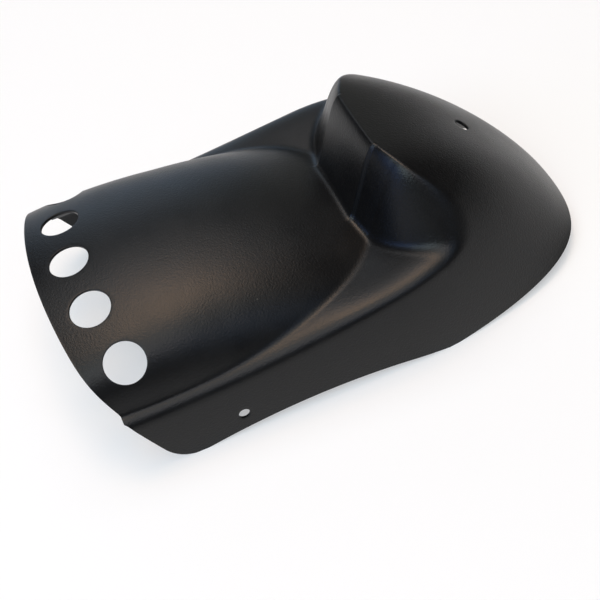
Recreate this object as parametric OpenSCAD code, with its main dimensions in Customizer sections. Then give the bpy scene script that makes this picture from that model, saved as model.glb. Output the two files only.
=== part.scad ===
// Bobber rear fender: one moulded shell of even thickness, resting on its lower edges.
// Lengths are in millimetres. The shape is written from the middle of the row of round holes,
// with x towards the tail, y across and z up from the surface that the fender rests on.

/* [Barrel] */
// Radius of the crown line of the front barrel, seen from the side
barrel_r = 501; // [480:1:525]
// Distance from the hole row to the highest point of the barrel
barrel_peak_x = 43; // [38:1:48]
// Height of the highest point of the barrel
barrel_peak_z = 113.7; // [112:0.1:115]
// Radius of the nearly flat middle of the barrel's section
barrel_flat_r = 250; // [240:1:260]
// Extra drop of the rolled sides where they reach the shoulders
barrel_roll = 22; // [20:0.5:24]
// Power that sets how suddenly the sides roll over, at the hole row
front_roll_power = 11.8; // [11:0.1:12.5]
// The same power behind, where the sides are rounder
rear_roll_power = 7.3; // [6.8:0.1:7.8]
// Distance from the hole row over which this power changes
roll_run = 90; // [80:1:100]

/* [Shoulder] */
// Height of the shoulder's outer crest at the hole row
crest_z = 58.5; // [57:0.5:60]
// Rise of the crest where it reaches the step
crest_rise = 28; // [26:0.5:30]
// Distance from the hole row over which the crest rises
crest_run = 254; // [250:1:260]
// Rise of the shoulder's top towards the middle, at the front
shelf_front_slope = 0.06; // [0:0.01:0.12]
// The same slope at the step, where the top falls towards the middle
shelf_rear_slope = -0.1; // [-0.14:0.01:-0.06]
// Distance from the hole row at which the slope starts to change
shelf_turn_x = 140; // [130:1:150]
// Distance over which it changes
shelf_turn_run = 80; // [70:1:90]

/* [Step] */
// Distance from the hole row to the foot of the step
step_x = 218; // [214:1:222]
// Lean of the step's flat panel, back for each unit up
step_lean = 0.35; // [0.32:0.01:0.38]
// Width of the step's flat panel
panel_w = 69; // [66:1:72]
// Width of the narrow band beside the panel
band_w = 3.5; // [3:0.5:4.5]
// How far the band steps back beside the panel
band_depth = 2; // [1:0.25:2.5]
// Sweep of the side facets, back for each unit out
facet_sweep = 0.2; // [0.16:0.01:0.24]
// Extra sweep at the shoulder's tip
facet_curve = 30.5; // [28:0.5:33]
// Power that bends the side facets back
facet_power = 2.9; // [2.7:0.1:3.1]
// Distance out from the middle at which the facets start to lean back
lean_from_y = 50; // [45:1:55]
// Distance out over which their lean doubles
lean_run = 44; // [40:1:48]
// Half-width at which the facets end in the tip
tip_y = 109; // [107:0.5:110]

/* [Hump] */
// Radius of the hump's crown line, seen from the side
hump_r = 303.6; // [300:0.2:307]
// Distance from the hole row to the centre of that radius
hump_x = 154.5; // [152:0.5:157]
// Depth of that centre below the resting surface
hump_depth = 144.2; // [141:0.2:147]
// Widest width of the fender, at the lower edges
body_w = 266; // [262:1:270]
// Distance from the hole row at which the plan starts to narrow
narrow_x = 226.4; // [222:0.2:230]
// Distance over which the narrowing would close to nothing
narrow_run = 308.6; // [302:0.2:314]
// Power that sets how round the tail is in plan
narrow_power = 1.6; // [1.55:0.01:1.65]
// Power of the section's upright direction, at the step
side_power = 1.63; // [1.58:0.01:1.68]
// Power of the section's cross direction, at the step
top_power = 5.15; // [5:0.05:5.3]
// How far these powers have fallen at the tail
tail_side_fall = 0.93; // [0.88:0.01:0.95]
tail_top_fall = 3.15; // [3.05:0.05:3.2]

/* [Edges] */
// Distance from the hole row forward to the front edge
front_x = 29.3; // [27:0.1:32]
// Lean of the front edge, back for each unit down
front_lean = 0.511; // [0.49:0.001:0.53]
// Distance from the hole row to the front end of the lower edge
foot_front_x = 45; // [43:1:48]
// Distance from the hole row to the rear end of the lower edge
foot_rear_x = 258; // [255:1:262]
// How far the lower edge bows up between its two ends
foot_bow = 10.8; // [9:0.1:12]
// Rise of the rear edge towards the tail, up for each unit back
tail_rise = 0.107; // [0.1:0.001:0.12]

/* [Sheet and holes] */
// Thickness of the moulded wall
wall = 2.5; // [2:0.1:3]
// Diameter of the five round holes
hole_d = 32; // [30:0.5:33]
// Spacing of these holes, measured along the surface
hole_pitch = 51.6; // [51:0.1:53]
// Lean of the hole row, back for each unit down
row_lean = 0.56; // [0.52:0.01:0.6]
// Diameter of the bolt hole in each side flange
side_bolt_d = 9; // [8:0.5:10]
// Distance of the side bolt holes from the hole row
side_bolt_x = 82; // [80:0.5:84]
// Height of the side bolt holes
side_bolt_z = 21.3; // [20:0.1:24]
// Diameter of the bolt hole in the top of the hump
rear_bolt_d = 13; // [12:0.5:14]
// Distance of that bolt hole from the hole row
rear_bolt_x = 335.4; // [333:0.1:338]

/* [Hidden] */
shell_colour = [0.075, 0.075, 0.078];
hole_faces = 64;

half_w = body_w / 2;
panel_y = panel_w / 2;
band_y = panel_y + band_w;
facet_run = tip_y - band_y;
tail_run = 160;
tail_soft = 0.01;
shelf_y = 125.5;
roll_y = 119.4;

function mix(a, b, t) = a + (b - a) * t;
function clamp(v, low, high) = min(max(v, low), high);
function sq(v) = v * v;

// Barrel: a crown line with a radius, and a section that is nearly flat and then rolls over
function crown_z(x) = barrel_peak_z - barrel_r + sqrt(sq(barrel_r) - sq(x - barrel_peak_x));
function roll_power(x) = mix(front_roll_power, rear_roll_power, clamp(x / roll_run, 0, 1));
function section_drop(x, y) = y * y / (2 * barrel_flat_r) + barrel_roll * pow(abs(y) / roll_y, roll_power(x));
function barrel_z(x, y) = crown_z(x) - section_drop(x, y);

// Shoulder: a narrow ledge at the front that widens towards the step
function shoulder_z(x) = crest_z + crest_rise * sq(max(x, 0) / crest_run);
function shelf_slope(x) = mix(shelf_front_slope, shelf_rear_slope, clamp((x - shelf_turn_x) / shelf_turn_run, 0, 1));
function shelf_z(x, y) = shoulder_z(x) + shelf_slope(x) * (shelf_y - y);
function low_z(x, y) = max(barrel_z(x, y), shelf_z(x, y));

// Hump: the outer body, whose sides run forward as the flanges
function hump_z(x) = sqrt(sq(hump_r) - sq(max(x, hump_x) - hump_x)) - hump_depth;
function narrowing(x) = pow(clamp((x - narrow_x) / narrow_run, 0, 1), narrow_power);
function body_y(x) = half_w * pow(1 - narrowing(x), 1 / narrow_power);
function tailward(x) = let (t = (x - foot_rear_x + 8) / tail_run) (t + sqrt(t * t + tail_soft)) / 2;
function up_power(x) = side_power - tail_side_fall * tailward(x);
function out_power(x) = top_power - tail_top_fall * tailward(x);
function outer_z(x, y) =
    hump_z(x) * pow(max(1 - pow(abs(y) / body_y(x), out_power(x)), 0), 1 / up_power(x));
function outer_y(x, z) =
    body_y(x) * pow(max(1 - pow(max(z, 0) / hump_z(x), up_power(x)), 0), 1 / out_power(x));

// Step: a flat panel in the middle, a narrow band beside it and a facet that sweeps back
function band_x(y) = band_depth * clamp((y - panel_y) / band_w, 0, 1);
function facet_x(y) = let (t = max(y - band_y, 0)) facet_sweep * t + facet_curve * pow(t / facet_run, facet_power);
function foot_x(y) = step_x + band_x(y) + facet_x(y);
function face_lean(y) = step_lean * (1 + pow(max(y - lean_from_y, 0) / lean_run, 3));
function face_z(x, y) = low_z(foot_x(y), y) + (x - foot_x(y)) / face_lean(y);
function top_z(x, y) = min(outer_z(x, y), x < foot_x(y) ? low_z(x, y) : max(low_z(x, y), face_z(x, y)));

// Lines on the surface, each found by halving an interval
function brow_x(y, a, b, n = 22) =
    let (m = (a + b) / 2) n == 0 ? m : face_z(m, y) < outer_z(m, y) ? brow_x(y, m, b, n - 1) : brow_x(y, a, m, n - 1);
function inner_y(x, a = 40, b = 124, n = 22) =
    let (m = (a + b) / 2) n == 0 ? m : barrel_z(x, m) > shelf_z(x, m) ? inner_y(x, m, b, n - 1) : inner_y(x, a, m, n - 1);
function crest_y(x, a = 90, b = 133, n = 22) =
    let (m = (a + b) / 2) n == 0 ? m : outer_z(x, m) > shelf_z(x, m) ? crest_y(x, m, b, n - 1) : crest_y(x, a, m, n - 1);
function edge_z(x) = tail_rise * (x - foot_rear_x);
function tail_x(y, a = foot_rear_x, b = 430, n = 24) =
    let (m = (a + b) / 2) n == 0 ? m : outer_z(m, y) > edge_z(m) ? tail_x(y, m, b, n - 1) : tail_x(y, a, m, n - 1);
function bow_z(x) = foot_bow * max(1 - sq((2 * x - foot_front_x - foot_rear_x) / (foot_rear_x - foot_front_x)), 0);

// Control lines of the shell, counted across one half: 0 middle, 1 panel, 2 band, 3 inner crease,
// 4 outer crest, 5 lower edge. A value between two of them lies between those lines.
columns = [
    0, 0.5, 0.97, 1, 2, 2.06, 2.2, 2.36, 2.52, 2.66, 2.8, 2.92, 3,
    3.06, 3.25, 3.5, 3.75, 4, 4.06, 4.12, 4.2, 4.35, 4.55, 4.8, 5
];
// Control rows along the shell: 0 front edge, 1 foot of the step, 2 brow of the step, 3 tail edge
rows = concat(
    [0, 0.02, 0.05],
    [for (k = [1:18]) 0.05 + 0.9 * k / 19],
    [0.95, 0.975, 0.99, 1, 1.05, 1.2, 1.4, 1.6, 1.8, 1.95, 2, 2.02, 2.06, 2.12],
    [for (k = [1:16]) 2.12 + 0.82 * k / 17],
    [2.93, 2.97, 3]
);
half_count = len(columns) - 1;
row_count = len(rows);
column_count = 2 * half_count + 1;
tail_lines = [0, 30, 34, 62, 104];
brow_end_y = 104;
flange_row_x = [foot_front_x, 225, 235, foot_rear_x];
corner_h = 18;
corner_x = front_lean * crown_z(-front_x) - front_x;
corner_fade = 0.3;
ease_r = 3;
crest_ease_r = 6;
crest_lines = [3.2, 4.3];

function junction_x(a = step_x, b = 240, n = 22) =
    let (m = (a + b) / 2) n == 0 ? m : foot_x(inner_y(m)) > m ? junction_x(m, b, n - 1) : junction_x(a, m, n - 1);
meet_x = junction_x();
meet_y = inner_y(meet_x);

function line_y(k, x) = k == 0 ? 0 : k == 1 ? panel_y : k == 2 ? band_y : k == 3 ? inner_y(min(x, meet_x)) : crest_y(x);
function lane(v) = min(floor(v), 3);
function lane_y(v, x) = let (k = lane(v)) mix(line_y(k, x), line_y(k + 1, x), v - k);
function front_row_x(v, n = 8, x = 0) =
    n == 0 ? x : front_row_x(v, n - 1, front_lean * (crown_z(-front_x) - top_z(x, lane_y(v, x))) - front_x);
function foot_row_x(v, a = step_x - 1, b = 275, n = 22) =
    let (m = (a + b) / 2) n == 0 ? m : foot_x(lane_y(v, m)) > m ? foot_row_x(v, m, b, n - 1) : foot_row_x(v, a, m, n - 1);
function brow_row_y(v) = v <= 3 ? lane_y(v, meet_x) : mix(meet_y, brow_end_y, v - 3);
function tail_row_y(v) = let (k = lane(v)) mix(tail_lines[k], tail_lines[k + 1], v - k);

// Corner points of each column, as places in plan: front edge, foot, brow and tail edge
top_columns = [for (v = columns) if (v <= 4)
    let (xa = front_row_x(v), xb = foot_row_x(v), yc = brow_row_y(v), yd = tail_row_y(v))
    [[xa, lane_y(v, xa)], [xb, lane_y(v, xb)], [brow_x(yc, foot_x(yc), 300), yc], [tail_x(yd), yd]]];
top_count = len(top_columns);

function plan_at(u, j) =
    let (c = top_columns[j], k = min(floor(u), 2), p = mix(c[k], c[k + 1], u - k))
    k == 0 ? [p[0], lane_y(columns[j], p[0])] : k == 1 && j == top_count - 1 ? [brow_x(p[1], p[0] - 8, 300), p[1]] : p;
function top_point(u, j) = let (p = plan_at(u, j)) [p[0], p[1], top_z(p[0], p[1])];

// Side of the front edge, with its rounded lower corner
function front_side(t, a) =
    let (b = [front_lean * (crown_z(-front_x) - corner_h) - front_x, corner_h], s = 2 * t - 1)
    t < 0.5 ? mix(a, b, 2 * t) : mix(mix(b, [corner_x, 0], s), mix([corner_x, 0], [foot_front_x, 0], s), s);
function side_point(u, t) =
    let (
        k = min(floor(u), 2),
        a3 = top_point(u, top_count - 1),
        a = [a3[0], a3[2]],
        xb = mix(flange_row_x[k], flange_row_x[k + 1], u - k),
        zb = bow_z(xb),
        e3 = top_point(0, top_count - 1),
        e = [e3[0], e3[2]],
        shift = front_side(t, e) - mix(e, [foot_front_x, 0], t),
        p = mix(a, [xb, zb], t) + shift * max(1 - u / corner_fade, 0)
    )
    [p[0], outer_y(p[0], p[1]), p[1]];

// Half of the outer skin, still with sharp creases
sharp = [for (u = rows) [for (j = [0:half_count]) j < top_count ? top_point(u, j) : side_point(u, columns[j] - 4)]];

// Easing draws each point towards its neighbours, which rounds the creases like a soft mould
function flip(p) = [p[0], -p[1], p[2]];
function ease_at(j) = columns[j] > crest_lines[0] && columns[j] < crest_lines[1] ? crest_ease_r : ease_r;
function reach(p, q, r) = let (d = norm(q - p)) d == 0 ? p : p + (q - p) * min(1, r / d);
function eased(p, a, b, r) = p * 0.5 + (reach(p, a, r) + reach(p, b, r)) * 0.25;
function ease_across(g) = [for (i = [0:row_count - 1]) [for (j = [0:half_count])
    j == half_count ? g[i][j] : eased(g[i][j], j == 0 ? flip(g[i][1]) : g[i][j - 1], g[i][j + 1], ease_at(j))]];
function ease_along(g) = [for (i = [0:row_count - 1]) [for (j = [0:half_count])
    i == 0 || i == row_count - 1 ? g[i][j] : eased(g[i][j], g[i - 1][j], g[i + 1][j], ease_r)]];
soft_half = ease_along(ease_across(ease_across(ease_along(ease_across(sharp)))));

function outer_at(i, j) = let (c = j - half_count) c < 0 ? flip(soft_half[i][-c]) : soft_half[i][c];
outer_skin = [for (i = [0:row_count - 1]) [for (j = [0:column_count - 1]) outer_at(i, j)]];
function unit(v) = v / norm(v);
function level(v) = [v[0], v[1], 0];
function slant(i, j) = cross(
    outer_skin[min(i + 1, row_count - 1)][j] - outer_skin[max(i - 1, 0)][j],
    outer_skin[i][min(j + 1, column_count - 1)] - outer_skin[i][max(j - 1, 0)]);
function skin_normal(i, j) = unit(j == 0 || j == column_count - 1 ? level(slant(i, j)) : slant(i, j));
inner_skin = [for (i = [0:row_count - 1]) [for (j = [0:column_count - 1]) outer_skin[i][j] - wall * skin_normal(i, j)]];

function outer_id(i, j) = i * column_count + j;
function inner_id(i, j) = row_count * column_count + outer_id(i, j);
function quad(a, b, c, d, turned) = turned ? [[a, b, c], [a, c, d]] : [[a, b, d], [b, c, d]];
function skin_faces() = [for (i = [0:row_count - 2]) for (j = [0:column_count - 2]) let (turned = j < half_count)
    for (f = concat(
        quad(outer_id(i, j + 1), outer_id(i + 1, j + 1), outer_id(i + 1, j), outer_id(i, j), !turned),
        quad(inner_id(i, j), inner_id(i + 1, j), inner_id(i + 1, j + 1), inner_id(i, j + 1), turned))) f];
function end_faces(i, forward) = [for (j = [0:column_count - 2])
    let (a = outer_id(i, j), b = outer_id(i, j + 1), c = inner_id(i, j + 1), d = inner_id(i, j))
    for (f = forward ? quad(a, b, c, d, true) : quad(d, c, b, a, true)) f];
function side_faces(j, forward) = [for (i = [0:row_count - 2])
    let (a = outer_id(i, j), b = outer_id(i + 1, j), c = inner_id(i + 1, j), d = inner_id(i, j))
    for (f = forward ? quad(a, b, c, d, true) : quad(d, c, b, a, true)) f];

module moulded_skin() {
    points = [for (g = [outer_skin, inner_skin]) for (r = g) for (p = r) p];
    faces = concat(
        skin_faces(),
        end_faces(0, false), end_faces(row_count - 1, true),
        side_faces(0, true), side_faces(column_count - 1, false));
    polyhedron(points, faces);
}

// Holes: five round ones in a leaning row, one bolt hole in each flange and one in the hump
function drop_grade(y) = y / barrel_flat_r + barrel_roll * front_roll_power / roll_y * pow(y / roll_y, front_roll_power - 1);
function around(s, y = 0) = s <= 0 ? y : around(s - 0.5, y + 0.5 / sqrt(1 + sq(drop_grade(y))));

module drill(p, across_tilt, along_tilt, d) {
    translate(p) rotate([across_tilt, along_tilt, 0]) cylinder(d = d, h = 10 * wall, center = true, $fn = hole_faces);
}

module round_holes() {
    for (k = [-2:2]) {
        y = around(abs(k) * hole_pitch);
        drop = section_drop(0, y);
        s = sign(k);
        x = row_lean * drop;
        drill([x, s * y, barrel_z(x, y)], -s * atan(drop_grade(y)), -atan(barrel_peak_x / barrel_r), hole_d);
    }
}

module side_bolt_holes() {
    for (s = [-1, 1]) drill([side_bolt_x, s * outer_y(side_bolt_x, side_bolt_z), side_bolt_z], 90, 0, side_bolt_d);
}

module rear_bolt_hole() {
    run = rear_bolt_x - hump_x;
    drill([rear_bolt_x, 0, hump_z(rear_bolt_x)], 0, asin(run / hump_r), rear_bolt_d);
}

module fender_shell() {
    color(shell_colour) translate([(front_x - tail_x(0)) / 2, 0, 0]) difference() {
        moulded_skin();
        round_holes();
        side_bolt_holes();
        rear_bolt_hole();
    }
}

fender_shell();
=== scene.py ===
import math
import bpy
import numpy as np
from mathutils import Matrix, Vector
from mathutils.geometry import delaunay_2d_cdt


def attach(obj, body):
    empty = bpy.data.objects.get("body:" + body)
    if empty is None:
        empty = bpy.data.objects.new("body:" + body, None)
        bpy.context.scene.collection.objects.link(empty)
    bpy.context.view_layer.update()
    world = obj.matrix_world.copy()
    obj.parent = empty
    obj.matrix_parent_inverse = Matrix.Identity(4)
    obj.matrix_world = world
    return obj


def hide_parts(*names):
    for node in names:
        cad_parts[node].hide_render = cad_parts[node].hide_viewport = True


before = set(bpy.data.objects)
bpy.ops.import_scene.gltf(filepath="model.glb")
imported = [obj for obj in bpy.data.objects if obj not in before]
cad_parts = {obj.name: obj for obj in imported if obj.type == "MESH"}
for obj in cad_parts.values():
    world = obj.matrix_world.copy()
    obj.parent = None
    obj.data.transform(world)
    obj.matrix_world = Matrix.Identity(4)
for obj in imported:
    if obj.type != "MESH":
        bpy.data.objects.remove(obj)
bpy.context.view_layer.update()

# The part's own values, in millimetres, the same as in its source: x from the row of round holes
# towards the tail, y across and z up from the surface that the fender rests on.
BARREL_R, PEAK_X, PEAK_Z = 501, 43, 113.7
FLAT_R, ROLL, ROLL_Y, FRONT_POWER, REAR_POWER, ROLL_RUN = 250, 22, 119.4, 11.8, 7.3, 90
CREST_Z, CREST_RISE, CREST_RUN = 58.5, 28, 254
SHELF_FRONT_SLOPE, SHELF_REAR_SLOPE, SHELF_TURN_X, SHELF_TURN_RUN, SHELF_Y = .06, -.1, 140, 80, 125.5
STEP_X, STEP_LEAN = 218, .35
PANEL_Y, BAND_W, BAND_DEPTH = 34.5, 3.5, 2
BAND_Y = PANEL_Y + BAND_W
FACET_SWEEP, FACET_CURVE, FACET_POWER, TIP_Y = .2, 30.5, 2.9, 109
FACET_RUN = TIP_Y - BAND_Y
LEAN_FROM_Y, LEAN_RUN = 50, 44
HUMP_R, HUMP_X, HUMP_DEPTH = 303.6, 154.5, 144.2
HALF_W, NARROW_X, NARROW_RUN, NARROW_POWER = 133, 226.4, 308.6, 1.6
SIDE_POWER, TOP_POWER, SIDE_FALL, TOP_FALL = 1.63, 5.15, .93, 3.15
TAIL_RUN, TAIL_SOFT, TAIL_LEAD = 160, .01, 8
FRONT_X, FRONT_LEAN = 29.3, .511
FOOT_FRONT, FOOT_REAR, FOOT_BOW, TAIL_RISE = 45, 258, 10.8, .107
CORNER_H, CORNER_FADE = 18, .3
WALL = 2.5
HOLE_D, HOLE_PITCH, ROW_LEAN = 32, 51.6, .56
SIDE_BOLT_D, SIDE_BOLT_X, SIDE_BOLT_Z = 9, 82, 21.3
REAR_BOLT_D, REAR_BOLT_X = 13, 335.4
TAIL_LINES = np.array([0, 30, 34, 62, 104.])
BROW_END_Y = 104
TIP_REACH, TIP_TURNS = 32, 14
# Where each kind of crossing is looked for
INNER_FROM, INNER_TO, CREST_FROM = 40, 124, 90
MEET_LIMIT, FOOT_LIMIT, BROW_LIMIT, TAIL_LIMIT = 240, 275, 300, 430
BROW_BACK = 8
# Along the flank, the places below the foot and the brow of the step
FLANK_FOOT_X, FLANK_BROW_X = 225, 235
# Spacing of the grid, near its creases and away from them, and how wide the close part is
FINE, TOP_COARSE, SIDE_COARSE, ROW_COARSE, FACE_COARSE = 1.1, 3, 2.9, 3.1, 2.6
TOP_REACH, ROW_REACH, SPREAD_STEPS = 6, 5, 4000
# Lengths of the stretches between creases, across the top, down the side and along the fender
INNER_WAY, CREST_WAY, SIDE_WAY = 116, 142, 62
FRONT_WAY, FACE_WAY, HUMP_WAY = 247, 48, 172


def crown_z(x):
    return PEAK_Z - BARREL_R + np.sqrt(BARREL_R ** 2 - (x - PEAK_X) ** 2)


def section_drop(x, y):
    power = FRONT_POWER + (REAR_POWER - FRONT_POWER) * np.clip(x / ROLL_RUN, 0, 1)
    return y * y / (2 * FLAT_R) + ROLL * (np.abs(y) / ROLL_Y) ** power


def barrel_z(x, y):
    return crown_z(x) - section_drop(x, y)


def shelf_z(x, y):
    turned = smooth_step((x - SHELF_TURN_X) / SHELF_TURN_RUN)
    slope = SHELF_FRONT_SLOPE + (SHELF_REAR_SLOPE - SHELF_FRONT_SLOPE) * turned
    rise = CREST_RISE * (np.maximum(x, 0) / CREST_RUN) ** 2
    return CREST_Z + rise + slope * (SHELF_Y - np.abs(y))


def low_z(x, y):
    return np.maximum(barrel_z(x, y), shelf_z(x, y))


def hump_z(x):
    return np.sqrt(HUMP_R ** 2 - (np.maximum(x, HUMP_X) - HUMP_X) ** 2) - HUMP_DEPTH


def body_y(x):
    t = np.clip((x - NARROW_X) / NARROW_RUN, 0, .999)
    return HALF_W * (1 - t ** NARROW_POWER) ** (1 / NARROW_POWER)


def tailward(x):
    t = (x - FOOT_REAR + TAIL_LEAD) / TAIL_RUN
    return (t + np.sqrt(t * t + TAIL_SOFT)) / 2


def up_power(x):
    return SIDE_POWER - SIDE_FALL * tailward(x)


def out_power(x):
    return TOP_POWER - TOP_FALL * tailward(x)


def outer_z(x, y):
    side = np.maximum(1 - (np.abs(y) / body_y(x)) ** out_power(x), 0)
    return hump_z(x) * side ** (1 / up_power(x))


def outer_y(x, z):
    high = np.maximum(1 - (np.maximum(z, 0) / hump_z(x)) ** up_power(x), 0)
    return body_y(x) * high ** (1 / out_power(x))


def smooth_step(t):
    t = np.clip(t, 0, 1)
    return t * t * (3 - 2 * t)


def foot_x(y):
    y = np.abs(y)
    t = np.maximum(y - BAND_Y, 0)
    band = BAND_DEPTH * smooth_step((y - PANEL_Y) / BAND_W)
    return STEP_X + band + FACET_SWEEP * t + FACET_CURVE * (t / FACET_RUN) ** FACET_POWER


def face_z(x, y):
    foot = foot_x(y)
    lean = STEP_LEAN * (1 + (np.maximum(np.abs(y) - LEAN_FROM_Y, 0) / LEAN_RUN) ** 3)
    return low_z(foot, y) + (x - foot) / lean


def top_z(x, y):
    low = low_z(x, y)
    return np.minimum(outer_z(x, y), np.where(x < foot_x(y), low, np.maximum(low, face_z(x, y))))


# The same surfaces, blended softly
STEP_D = .02  # Reach of the slopes taken by difference
FLATTEST, LEAST_SLOPE = .05, .2  # Floors that keep divisions by a slope safe
# How widely two surfaces blend where they meet
FOOT_SOFT, SHOULDER_SOFT, CREST_SOFT, CREST_TO_BROW = 6, 2.5, 12, 15
PANEL_BROW_SOFT, TIP_BROW_SOFT, BROW_SOFT_RUN = 5.5, 13, 50


def slopes(f, p):
    out = []
    for k in range(3):
        d = np.zeros(3)
        d[k] = STEP_D
        out.append((f(p + d) - f(p - d)) / (2 * STEP_D))
    return np.stack(out, -1)


def far(f):
    """Signed distance from a surface, near enough close to it."""
    def g(p):
        return f(p) / np.maximum(np.linalg.norm(slopes(f, p), axis=-1), FLATTEST)
    return g


def body_gap(p):
    x, y, z = p[..., 0], np.abs(p[..., 1]), np.maximum(p[..., 2], .001)
    return (y / body_y(x)) ** out_power(x) + (z / hump_z(x)) ** up_power(x) - 1


far_barrel = far(lambda p: p[..., 2] - barrel_z(p[..., 0], p[..., 1]))
far_shelf = far(lambda p: p[..., 2] - shelf_z(p[..., 0], p[..., 1]))
far_face = far(lambda p: p[..., 2] - face_z(p[..., 0], p[..., 1]))
far_body = far(body_gap)


def soft_min(a, b, reach):
    h = np.maximum(reach - np.abs(a - b), 0) / reach
    return np.minimum(a, b) - h * h * reach / 4


def gap(p):
    """Distance above the softly blended skin."""
    low = soft_min(far_barrel(p), far_shelf(p), SHOULDER_SOFT)
    face = far_face(p)
    top = soft_min(low, face, FOOT_SOFT)
    outward = smooth_step((np.abs(p[..., 1]) - PANEL_Y) / BROW_SOFT_RUN)
    brow = PANEL_BROW_SOFT + (TIP_BROW_SOFT - PANEL_BROW_SOFT) * outward
    reach = brow + (CREST_SOFT - brow) * smooth_step((face - low) / CREST_TO_BROW)
    return -soft_min(-top, -far_body(p), reach)


def normals(p):
    g = slopes(gap, p)
    return g / np.linalg.norm(g, axis=-1, keepdims=True)


def settle(p, turns=4):
    """Moves points onto the blended skin along its normals."""
    for _ in range(turns):
        g = slopes(gap, p)
        p = p - g * (gap(p) / np.maximum((g * g).sum(-1), LEAST_SLOPE))[..., None]
    return p


# Control lines, as in the source
def halve(f, a, b, turns=26):
    """Where f goes from true to false, for arrays of intervals."""
    a, b = np.broadcast_arrays(np.asarray(a, float), np.asarray(b, float))
    a, b = a.copy(), b.copy()
    for _ in range(turns):
        m = (a + b) / 2
        t = f(m)
        a, b = np.where(t, m, a), np.where(t, b, m)
    return (a + b) / 2


def inner_y(x):
    return halve(lambda m: barrel_z(x, m) > shelf_z(x, m), INNER_FROM + 0 * x, INNER_TO)


def crest_y(x):
    return halve(lambda m: outer_z(x, m) > shelf_z(x, m), CREST_FROM + 0 * x, HALF_W)


def brow_x(y, a):
    return halve(lambda m: face_z(m, y) < outer_z(m, y), a, BROW_LIMIT)


def tail_x(y):
    return halve(lambda m: outer_z(m, y) > TAIL_RISE * (m - FOOT_REAR), FOOT_REAR + 0 * y, TAIL_LIMIT)


def bow_z(x):
    t = (2 * x - FOOT_FRONT - FOOT_REAR) / (FOOT_REAR - FOOT_FRONT)
    return FOOT_BOW * np.maximum(1 - t * t, 0)


MEET_X = float(halve(lambda m: foot_x(inner_y(m)) > m, STEP_X, MEET_LIMIT))
MEET_Y = float(inner_y(np.array(MEET_X)))


def mix(a, b, t):
    return a + (b - a) * t


def lane_y(v, x):
    lines = [0 * x, PANEL_Y + 0 * x, BAND_Y + 0 * x, inner_y(np.minimum(x, MEET_X)), crest_y(x)]
    k = np.minimum(np.floor(v), 3).astype(int)
    a, b = (np.choose(k + s, lines) for s in (0, 1))
    return mix(a, b, v - k)


def spread(stops, coarse, reach):
    """Places along a line, close together near the stops (place, parameter) and wider between them."""
    at = np.array([s[0] for s in stops], float)
    value = np.array([s[1] for s in stops], float)
    s = np.linspace(at[0], at[-1], SPREAD_STEPS)
    near = np.min(np.abs(s[:, None] - at[None]), axis=1)
    size = FINE + (coarse - FINE) * smooth_step((near - reach) / (2 * reach))
    count = np.concatenate([[0], np.cumsum((1 / size[1:] + 1 / size[:-1]) / 2 * np.diff(s))])
    places = np.interp(np.linspace(0, count[-1], int(round(count[-1])) + 1), count, s)
    return np.interp(places, at, value)


TOP_V = spread([(0, 0), (PANEL_Y, 1), (BAND_Y, 2), (INNER_WAY, 3), (CREST_WAY, 4)], TOP_COARSE, TOP_REACH)
TOP_V[0] = 0
SIDE_T = spread([(0, 0), (SIDE_WAY, 1)], SIDE_COARSE, TOP_REACH)[1:]
ROWS_U = np.concatenate([
    spread([(0, 0), (FRONT_WAY, 1)], ROW_COARSE, ROW_REACH)[:-1],
    1 + spread([(0, 0), (FACE_WAY, 1)], FACE_COARSE, ROW_REACH)[:-1],
    2 + spread([(0, 0), (HUMP_WAY, 1)], ROW_COARSE, ROW_REACH)])


def corner_points(v):
    """Places in plan of each column: front edge, foot, brow and tail edge."""
    xa = np.zeros_like(v)
    for _ in range(10):
        xa = FRONT_LEAN * (crown_z(-FRONT_X) - top_z(xa, lane_y(v, xa))) - FRONT_X
    xb = halve(lambda m: foot_x(lane_y(v, m)) > m, STEP_X - 1 + 0 * v, FOOT_LIMIT)
    yc = np.where(v <= 3, lane_y(v, MEET_X + 0 * v), mix(MEET_Y, BROW_END_Y, v - 3))
    k = np.minimum(np.floor(v), 3).astype(int)
    yd = mix(TAIL_LINES[k], TAIL_LINES[k + 1], v - k)
    return np.stack([np.stack([xa, lane_y(v, xa)], -1), np.stack([xb, lane_y(v, xb)], -1),
                     np.stack([brow_x(yc, foot_x(yc)), yc], -1), np.stack([tail_x(yd), yd], -1)], 0)


def top_points(u, v):
    c = corner_points(v)
    out = np.zeros((len(u), len(v), 3))
    for i, s in enumerate(u):
        k = min(int(s), 2)
        p = mix(c[k], c[k + 1], s - k)
        x, y = p[:, 0].copy(), p[:, 1].copy()
        if k == 0:
            y = lane_y(v, x)
        if k == 1:
            last = v >= 4
            x = np.where(last, brow_x(y, x - BROW_BACK), x)
        out[i] = np.stack([x, y, top_z(x, y)], -1)
    return out


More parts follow.
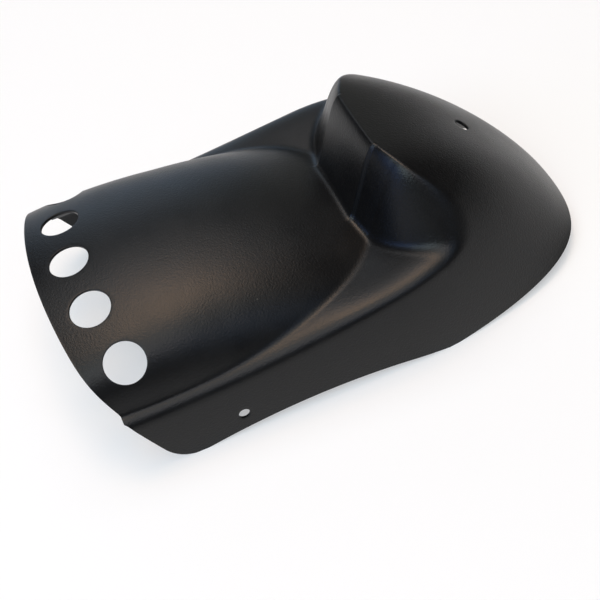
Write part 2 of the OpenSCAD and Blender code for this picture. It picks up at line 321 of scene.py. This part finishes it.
def side_points(u, t, edge):
    """The skin below the crest, from its edge down to the lower rim."""
    row_x = np.array([FOOT_FRONT, FLANK_FOOT_X, FLANK_BROW_X, FOOT_REAR])
    e = edge[0, [0, 2]]
    corner_x = FRONT_LEAN * crown_z(-FRONT_X) - FRONT_X
    b = np.array([FRONT_LEAN * (crown_z(-FRONT_X) - CORNER_H) - FRONT_X, CORNER_H])
    low, foot = np.array([corner_x, 0.]), np.array([FOOT_FRONT, 0.])
    s = np.clip(2 * t - 1, 0, 1)[:, None]
    front = np.where(t[:, None] < .5, mix(e, b, 2 * t[:, None]), mix(mix(b, low, s), mix(low, foot, s), s))
    shift = front - mix(e, foot, t[:, None])
    out = np.zeros((len(u), len(t), 3))
    for i, w in enumerate(u):
        k = min(int(w), 2)
        xb = mix(row_x[k], row_x[k + 1], w - k)
        a = edge[i, [0, 2]]
        p = mix(a, np.array([xb, bow_z(xb)]), t[:, None]) + shift * max(1 - w / CORNER_FADE, 0)
        out[i] = np.stack([p[:, 0], outer_y(p[:, 0], p[:, 1]), p[:, 1]], -1)
    return out


def even_out(half):
    """Spreads the grid evenly round the step's tip, where its lines crowd together."""
    tip_x = float(foot_x(TIP_Y))
    for _ in range(TIP_TURNS):
        p = half[1:-1, 1:-1]
        share = .5 * smooth_step(1 - np.hypot(p[..., 0] - tip_x, p[..., 1] - TIP_Y) / TIP_REACH)
        middle = (half[:-2, 1:-1] + half[2:, 1:-1] + half[1:-1, :-2] + half[1:-1, 2:]) / 4
        half[1:-1, 1:-1] = p + share[..., None] * (middle - p)


def lay_skin():
    top = top_points(ROWS_U, TOP_V)
    side = side_points(ROWS_U, SIDE_T, top[:, -1])
    half = np.concatenate([top, side], 1)
    rim = half[:, -1].copy()
    even_out(half)
    half = settle(half)
    # The rims stay where the source has them
    half[:, -1] = rim
    full = np.concatenate([half[:, :0:-1] * [1, -1, 1], half], 1)
    return full


outer = lay_skin()
count_i, count_j = outer.shape[:2]
turn = normals(outer)
level = turn[:, [0, -1]] * [1, 1, 0]
turn[:, [0, -1]] = level / np.linalg.norm(level, axis=-1, keepdims=True)
inner = outer - WALL * turn

tail_end = float(tail_x(np.array(0.)))
SHIFT = np.array([(FRONT_X - tail_end) / 2, 0, 0])


# Mesh of the shell
RIM_R, RIM_STEPS = .6, 4  # Rounding of the rims


class Shell:
    """Gathers the points and faces of the mesh."""

    def __init__(self):
        self.points, self.faces, self.count = [], [], 0

    def add(self, p):
        p = np.asarray(p, float).reshape(-1, 3)
        first = self.count
        self.points.append(p)
        self.count += len(p)
        return np.arange(first, self.count)

    def strip(self, a, b, closed=False):
        """Quads between two rows of point numbers."""
        n = len(a)
        for k in range(n if closed else n - 1):
            m = (k + 1) % n
            self.faces.append((int(a[k]), int(a[m]), int(b[m]), int(b[k])))


shell = Shell()


def rim_loop(ni, nj):
    """Grid places round the edge: front edge, one side, tail edge, other side."""
    loop = [(0, j) for j in range(nj)]
    loop += [(i, nj - 1) for i in range(1, ni)]
    loop += [(ni - 1, j) for j in range(nj - 2, -1, -1)]
    loop += [(i, 0) for i in range(ni - 2, 0, -1)]
    return np.array(loop)


loop = rim_loop(count_i, count_j)
edge_p = outer[loop[:, 0], loop[:, 1]]
edge_n = turn[loop[:, 0], loop[:, 1]]
along = np.roll(edge_p, -1, 0) - np.roll(edge_p, 1, 0)
away = np.cross(along, edge_n)
away /= np.linalg.norm(away, axis=1, keepdims=True)

skin_out, skin_in = outer.copy(), inner.copy()
skin_out[loop[:, 0], loop[:, 1]] -= RIM_R * away
skin_in[loop[:, 0], loop[:, 1]] -= RIM_R * away
id_out = shell.add(skin_out).reshape(count_i, count_j)
id_in = shell.add(skin_in).reshape(count_i, count_j)

rings = [id_out[loop[:, 0], loop[:, 1]]]
for k in range(1, RIM_STEPS + 1):
    a = math.pi / 2 * k / RIM_STEPS
    rings.append(shell.add(edge_p - RIM_R * (1 - math.sin(a)) * away - RIM_R * (1 - math.cos(a)) * edge_n))
for k in range(RIM_STEPS, 0, -1):
    a = math.pi / 2 * k / RIM_STEPS
    rings.append(shell.add(
        edge_p - RIM_R * (1 - math.sin(a)) * away - (WALL - RIM_R * (1 - math.cos(a))) * edge_n))
rings.append(id_in[loop[:, 0], loop[:, 1]])
for a, b in zip(rings, rings[1:]):
    shell.strip(b, a, closed=True)


# Holes
HOLE_SEGMENTS, HOLE_EASE = 72, .6
HOLE_MARGIN, DRILL_REACH, SAME_PLACE = 1.3, 25, 1e-7
ARC_STEP = .5  # Step of the walk round the barrel from one hole to the next


def drop_grade(y):
    return y / FLAT_R + ROLL * FRONT_POWER / ROLL_Y * (y / ROLL_Y) ** (FRONT_POWER - 1)


def around(s):
    """The y that lies a distance s round the barrel from its middle."""
    y = 0.
    while s > 0:
        y += ARC_STEP / math.sqrt(1 + drop_grade(y) ** 2)
        s -= ARC_STEP
    return y


def tilted(across, along):
    """Axis of a drill that is turned about x and then about y."""
    turned = Matrix.Rotation(math.radians(along), 3, "Y") @ Matrix.Rotation(math.radians(across), 3, "X")
    return turned @ Vector((0, 0, 1))


drills = []
for k in range(-2, 3):
    y = around(abs(k) * HOLE_PITCH)
    s = (k > 0) - (k < 0)
    drop = float(section_drop(0, y))
    x = ROW_LEAN * drop
    axis = tilted(-s * math.degrees(math.atan(drop_grade(y))), -math.degrees(math.atan(PEAK_X / BARREL_R)))
    drills.append(((x, s * y, float(barrel_z(x, y))), axis, HOLE_D / 2))
for s in (-1, 1):
    drills.append(((SIDE_BOLT_X, s * float(outer_y(SIDE_BOLT_X, SIDE_BOLT_Z)), SIDE_BOLT_Z),
                   Vector((0, s, 0)), SIDE_BOLT_D / 2))
rear_tilt = math.degrees(math.asin((REAR_BOLT_X - HUMP_X) / HUMP_R))
drills.append(((REAR_BOLT_X, 0, float(hump_z(REAR_BOLT_X))), tilted(0, rear_tilt), REAR_BOLT_D / 2))

dropped = np.zeros((count_i - 1, count_j - 1), bool)


def on_skin(start, axis):
    """Moves points along the axis onto the outer skin."""
    p = start.copy()
    for _ in range(6):
        slope = (slopes(gap, p) * axis).sum(-1)
        p = p - axis * (gap(p) / slope)[:, None]
    return p


def inside(q, poly):
    """Which places lie inside a closed outline."""
    out = np.zeros(len(q), bool)
    x, y = q[:, 0], q[:, 1]
    for a, b in zip(poly, np.roll(poly, -1, 0)):
        cross = (a[1] > y) != (b[1] > y)
        if a[1] != b[1]:
            out ^= cross & (x < (b[0] - a[0]) * (y - a[1]) / (b[1] - a[1]) + a[0])
    return out


def cut_hole(centre, axis, radius):
    centre, axis = np.array(centre), np.array(axis)
    u = np.cross(axis, [0, 1, 0] if abs(axis[1]) < .8 else [1, 0, 0])
    u /= np.linalg.norm(u)
    w = np.cross(axis, u)
    rel = outer - centre
    off = np.linalg.norm(rel - (rel @ axis)[..., None] * axis, axis=-1)
    hit = (off < radius + HOLE_EASE + HOLE_MARGIN) & (np.abs(rel @ axis) < DRILL_REACH)
    quads = hit[:-1, :-1] | hit[1:, :-1] | hit[:-1, 1:] | hit[1:, 1:]
    dropped[quads] = True
    # Outline of what was taken out: grid edges with a taken quad on one side only
    nexts = {}
    for i, j in zip(*np.nonzero(quads)):
        ring = [(i, j), (i, j + 1), (i + 1, j + 1), (i + 1, j)]
        for a, b, (di, dj) in zip(ring, ring[1:] + ring[:1], ((-1, 0), (0, 1), (1, 0), (0, -1))):
            if not quads[i + di, j + dj]:
                nexts[a] = b
    start = next(iter(nexts))
    outline, at = [start], nexts[start]
    while at != start:
        outline.append(at)
        at = nexts[at]
    outline = np.array(outline)
    angle = np.arange(HOLE_SEGMENTS) * 2 * math.pi / HOLE_SEGMENTS
    ray = np.cos(angle)[:, None] * u + np.sin(angle)[:, None] * w

    def flat(p):
        d = p - centre
        return np.stack([d @ u, d @ w], -1)

    def outer_ring(r):
        return on_skin(centre + r * ray, axis)

    def inner_ring(r):
        want = flat(centre + r * ray)
        aim = want.copy()
        for _ in range(6):
            q = on_skin(centre + aim[:, :1] * u + aim[:, 1:] * w, axis)
            p = q - WALL * normals(q)
            aim += want - flat(p)
        return p

    def patch(ids, ring_ids, grid, upward):
        pts = np.concatenate([grid[outline[:, 0], outline[:, 1]], np.concatenate(shell.points)[ring_ids]])
        q = flat(pts)
        n, m = len(outline), len(ring_ids)
        edges = [(k, (k + 1) % n) for k in range(n)] + [(n + k, n + (k + 1) % m) for k in range(m)]
        found = delaunay_2d_cdt([Vector(c) for c in q], edges, [], 0, SAME_PLACE)
        verts = np.array([tuple(c) for c in found[0]])
        back = [o[0] for o in found[3]]
        numbers = np.concatenate([ids[outline[:, 0], outline[:, 1]], ring_ids])
        tris = np.array([f for f in found[2]])
        mid = verts[tris].mean(1)
        keep = inside(mid, q[:n]) & ~inside(mid, q[n:])
        for f in tris[keep]:
            a, b, c = verts[f]
            area = (b[0] - a[0]) * (c[1] - a[1]) - (b[1] - a[1]) * (c[0] - a[0])
            f = [int(numbers[back[k]]) for k in f]
            shell.faces.append(tuple(f if (area > 0) == upward else f[::-1]))

    def ring_set(make, direction):
        made = []
        for k in range(RIM_STEPS + 1):
            a = math.pi / 2 * k / RIM_STEPS
            wider, deeper = HOLE_EASE * (1 - math.sin(a)), HOLE_EASE * (1 - math.cos(a))
            made.append(shell.add(make(radius + wider) - direction * deeper * axis))
        return made

    upper, lower = ring_set(outer_ring, 1), ring_set(inner_ring, -1)
    patch(id_out, upper[0], skin_out, True)
    patch(id_in, lower[0], skin_in, False)
    rows = upper + lower[::-1]
    for a, b in zip(rows, rows[1:]):
        shell.strip(a, b, closed=True)


for d in drills:
    cut_hole(*d)

for i in range(count_i - 1):
    for j in range(count_j - 1):
        if not dropped[i, j]:
            a, b, c, d = id_out[i, j], id_out[i, j + 1], id_out[i + 1, j + 1], id_out[i + 1, j]
            shell.faces.append((int(d), int(c), int(b), int(a)))
            a, b, c, d = id_in[i, j], id_in[i, j + 1], id_in[i + 1, j + 1], id_in[i + 1, j]
            shell.faces.append((int(a), int(b), int(c), int(d)))

mesh = bpy.data.meshes.new("moulded_shell")
mesh.from_pydata([tuple(p) for p in (np.concatenate(shell.points) + SHIFT) / 1000], [], shell.faces)
mesh.validate()
mesh.polygons.foreach_set("use_smooth", [True] * len(mesh.polygons))
body = bpy.data.objects.new("moulded_shell", mesh)
bpy.context.scene.collection.objects.link(body)
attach(body, "root")
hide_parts("fender_shell")

# Material
BLACK, DUSTY, SPECK = (.0036, .0036, .0039, 1), (.0085, .0085, .0082, 1), (.05, .048, .044, 1)
SPECULAR, ROUGH, ROUGH_SWING = .27, .34, .05
GRAIN_HEIGHT = .00018
# Sizes of the patterns, in repeats a metre, and the share of cells without a speck
CLOUDS, SMUDGES, SCUFFS, GRAIN, FINE_GRAIN = 38., 11., 60., 640., 1500.
SPECK_CELLS, SPECK_SHARE = 85., .955


class Paint:
    """Makes and links the nodes of a material."""

    def __init__(self, name):
        self.material = bpy.data.materials.new(name)
        self.material.use_nodes = True
        self.tree = self.material.node_tree
        self.surface = self.tree.nodes["Principled BSDF"]
        self.place = self.tree.nodes.new("ShaderNodeTexCoord").outputs["Object"]

    def node(self, kind, **inputs):
        made = self.tree.nodes.new(kind)
        for name, value in inputs.items():
            self.put(made.inputs[name.replace("_", " ")], value)
        return made

    def put(self, socket, value):
        if isinstance(value, bpy.types.NodeSocket):
            self.tree.links.new(value, socket)
        else:
            socket.default_value = value

    def noise(self, scale, detail=2., stretch=(1, 1, 1)):
        place = self.node("ShaderNodeMapping", Vector=self.place, Scale=stretch).outputs[0]
        return self.node("ShaderNodeTexNoise", Vector=place, Scale=scale, Detail=detail).outputs["Fac"]

    def fit(self, value, low, high, to_low=0., to_high=1.):
        made = self.node("ShaderNodeMapRange", Value=value)
        for k, number in enumerate((low, high, to_low, to_high)):
            made.inputs[k + 1].default_value = number
        return made.outputs[0]

    def maths(self, operation, a, b):
        made = self.tree.nodes.new("ShaderNodeMath")
        made.operation = operation
        self.put(made.inputs[0], a)
        self.put(made.inputs[1], b)
        return made.outputs[0]

    def blend(self, share, a, b):
        made = self.tree.nodes.new("ShaderNodeMix")
        made.data_type = "RGBA"
        self.put(made.inputs["Factor"], share)
        self.put(made.inputs[6], a)
        self.put(made.inputs[7], b)
        return made.outputs[2]


def dust_specks(paint):
    """A few small pale specks, where a cell's own random value is high."""
    cells = paint.node("ShaderNodeTexVoronoi", Vector=paint.place, Scale=SPECK_CELLS)
    near = paint.fit(cells.outputs["Distance"], .035, .06, 1, 0)
    own = paint.node("ShaderNodeSeparateColor", Color=cells.outputs["Color"]).outputs[0]
    chosen = paint.maths("GREATER_THAN", own, SPECK_SHARE)
    return paint.maths("MULTIPLY", near, chosen)


def satin_black():
    """Satin black moulded skin: fine grain, cloudy gloss, hand smudges, thin scuffs and a little dust."""
    paint = Paint("satin_black")
    cloud = paint.noise(CLOUDS, 4.)
    smudge = paint.fit(paint.noise(SMUDGES, 3.), .52, .7)
    scuff = paint.fit(paint.noise(SCUFFS, 3., (1, 9, 4)), .66, .74)
    dusty = paint.maths("ADD", paint.maths("MULTIPLY", smudge, .45), paint.fit(cloud, .35, .75, 0, .35))
    colour = paint.blend(dusty, BLACK, DUSTY)
    paint.put(paint.surface.inputs["Base Color"], paint.blend(dust_specks(paint), colour, SPECK))
    rough = paint.fit(cloud, .3, .7, ROUGH - ROUGH_SWING / 2, ROUGH + ROUGH_SWING / 2)
    rough = paint.maths("ADD", rough, paint.maths("MULTIPLY", smudge, ROUGH_SWING / 2))
    rough = paint.maths("ADD", rough, paint.maths("MULTIPLY", scuff, ROUGH_SWING))
    paint.put(paint.surface.inputs["Roughness"], rough)
    paint.surface.inputs["Specular IOR Level"].default_value = SPECULAR
    grain = paint.noise(GRAIN, 2.)
    height = paint.maths("ADD", grain, paint.maths("MULTIPLY", paint.noise(FINE_GRAIN, 1.), .4))
    bump = paint.node("ShaderNodeBump", Height=height, Strength=1., Distance=GRAIN_HEIGHT)
    paint.put(paint.surface.inputs["Normal"], bump.outputs[0])
    return paint.material


mesh.materials.append(satin_black())

# Stage, light and camera
FLOOR_HALF, FLOOR_PALE = 30, (.92, .92, .92, 1)
FLOOR_GLOW, FLOOR_NEAR, FLOOR_FAR = .45, 1., 4.
AIM = Vector((0, 0, .07))


def stage_piece(name, verts, faces, material):
    piece_mesh = bpy.data.meshes.new(name)
    piece_mesh.from_pydata(verts, [], faces)
    piece = bpy.data.objects.new(name, piece_mesh)
    bpy.context.scene.collection.objects.link(piece)
    piece_mesh.materials.append(material)


def seen_directly(tree):
    """1 for rays of the camera and for those that mirror or pass straight on to it."""
    path = tree.nodes.new("ShaderNodeLightPath")
    total = path.outputs["Is Camera Ray"]
    for other in ("Is Glossy Ray", "Is Transmission Ray"):
        add = tree.nodes.new("ShaderNodeMath")
        add.operation = "MAXIMUM"
        tree.links.new(total, add.inputs[0])
        tree.links.new(path.outputs[other], add.inputs[1])
        total = add.outputs[0]
    return total


def white_floor():
    m = bpy.data.materials.new("floor_white")
    m.use_nodes = True
    t = m.node_tree
    t.nodes.clear()
    out = t.nodes.new("ShaderNodeOutputMaterial")
    paint = t.nodes.new("ShaderNodeBsdfDiffuse")
    paint.inputs["Color"].default_value = FLOOR_PALE
    glow = t.nodes.new("ShaderNodeEmission")
    share = t.nodes.new("ShaderNodeMath")
    share.operation = "MULTIPLY"
    # Past the lamps' reach the floor glows fully, so that it stays white up to the horizon
    far_off = t.nodes.new("ShaderNodeMapRange")
    length = t.nodes.new("ShaderNodeVectorMath")
    length.operation = "LENGTH"
    t.links.new(t.nodes.new("ShaderNodeTexCoord").outputs["Object"], length.inputs[0])
    t.links.new(length.outputs["Value"], far_off.inputs[0])
    for k, number in enumerate((FLOOR_NEAR, FLOOR_FAR, FLOOR_GLOW, 1)):
        far_off.inputs[k + 1].default_value = number
    t.links.new(far_off.outputs[0], share.inputs[1])
    both = t.nodes.new("ShaderNodeMixShader")
    t.links.new(seen_directly(t), share.inputs[0])
    t.links.new(share.outputs[0], both.inputs[0])
    t.links.new(paint.outputs[0], both.inputs[1])
    t.links.new(glow.outputs[0], both.inputs[2])
    t.links.new(both.outputs[0], out.inputs[0])
    return m


# The floor turns up into a low backdrop, which the camera and the reflections see alike
BACKDROP_H = 1.5
CORNERS = [(a * FLOOR_HALF, b * FLOOR_HALF) for a, b in ((-1, -1), (1, -1), (1, 1), (-1, 1))]
stage_piece("floor", [(x, y, z) for z in (0, BACKDROP_H) for x, y in CORNERS],
            [(0, 1, 2, 3), (1, 0, 4, 5), (2, 1, 5, 6), (3, 2, 6, 7), (0, 3, 7, 4)], white_floor())

world = bpy.data.worlds.new("studio")
bpy.context.scene.world = world
world.use_nodes = True
# One dim value for every ray: the room above the backdrop
world.node_tree.nodes["Background"].inputs[0].default_value = (.03, .03, .03, 1)

LAMP_DISTANCE = 4
# Name, azimuth, elevation, width, strength and colour of each lamp
LAMPS = [
    ("overhead", -100, 82, 2.7, .99, (.93, .99, 1)),
    ("warm", 80, 82, 1.5, 1.02, (1, .6, .32)),
    ("far_high", 60, 64, 1.9, .4, (.86, .93, 1)),
    ("left_high", 110, 64, 1.9, .46, (.86, .93, 1)),
    ("left", -145, 44, 1.9, 1.1, (.77, .94, 1)),
    ("left_low", -170, 24, 1.9, .54, (.25, .44, 1)),
    ("right", -70, 44, 1.9, .26, (.48, .68, 1)),
    ("front", -100, 55, 1.1, .35, (1, .92, .92)),
    ("far_right", 60, 24, 1.9, .07, (.95, 1, .93)),
    ("far_low", 90, 24, 1.9, .17, (.85, .93, 1)),
    ("behind", 88, 8, 2.4, .2, (.3, .6, 1)),
]


def soft_light(name, azimuth, elevation, width, strength, colour):
    """A square soft light; strength is what it sheds on a surface that faces it, where pi is full light."""
    a, e = math.radians(azimuth), math.radians(elevation)
    way = Vector((math.cos(e) * math.cos(a), math.cos(e) * math.sin(a), math.sin(e)))
    d = bpy.data.lights.new(name, "AREA")
    d.shape, d.size, d.color = "SQUARE", width, colour
    d.energy = math.pi * LAMP_DISTANCE ** 2 * strength
    o = bpy.data.objects.new(name, d)
    o.location = AIM + way * LAMP_DISTANCE
    o.rotation_mode = "QUATERNION"
    o.rotation_quaternion = (-way).to_track_quat("-Z", "Y")
    bpy.context.scene.collection.objects.link(o)


for lamp in LAMPS:
    soft_light(*lamp)

LENS, SENSOR = 66, 36
CAMERA_PLACE = (-.15990, -.64017, .69136)
RIGHT, DOWN, AHEAD = (.92117, -.36209, -.14261), (-.36158, -.66082, -.65771), (.14391, .65742, -.73966)
cam_data = bpy.data.cameras.new("camera")
cam_data.lens, cam_data.sensor_width = LENS, SENSOR
cam_data.clip_start, cam_data.clip_end = .05, 100
camera = bpy.data.objects.new("camera", cam_data)
facing = Matrix((RIGHT, [-c for c in DOWN], [-c for c in AHEAD])).transposed()
camera.matrix_world = Matrix.Translation(CAMERA_PLACE) @ facing.to_4x4()
bpy.context.scene.collection.objects.link(camera)
bpy.context.scene.camera = camera

bpy.context.scene.view_settings.view_transform = "Standard"
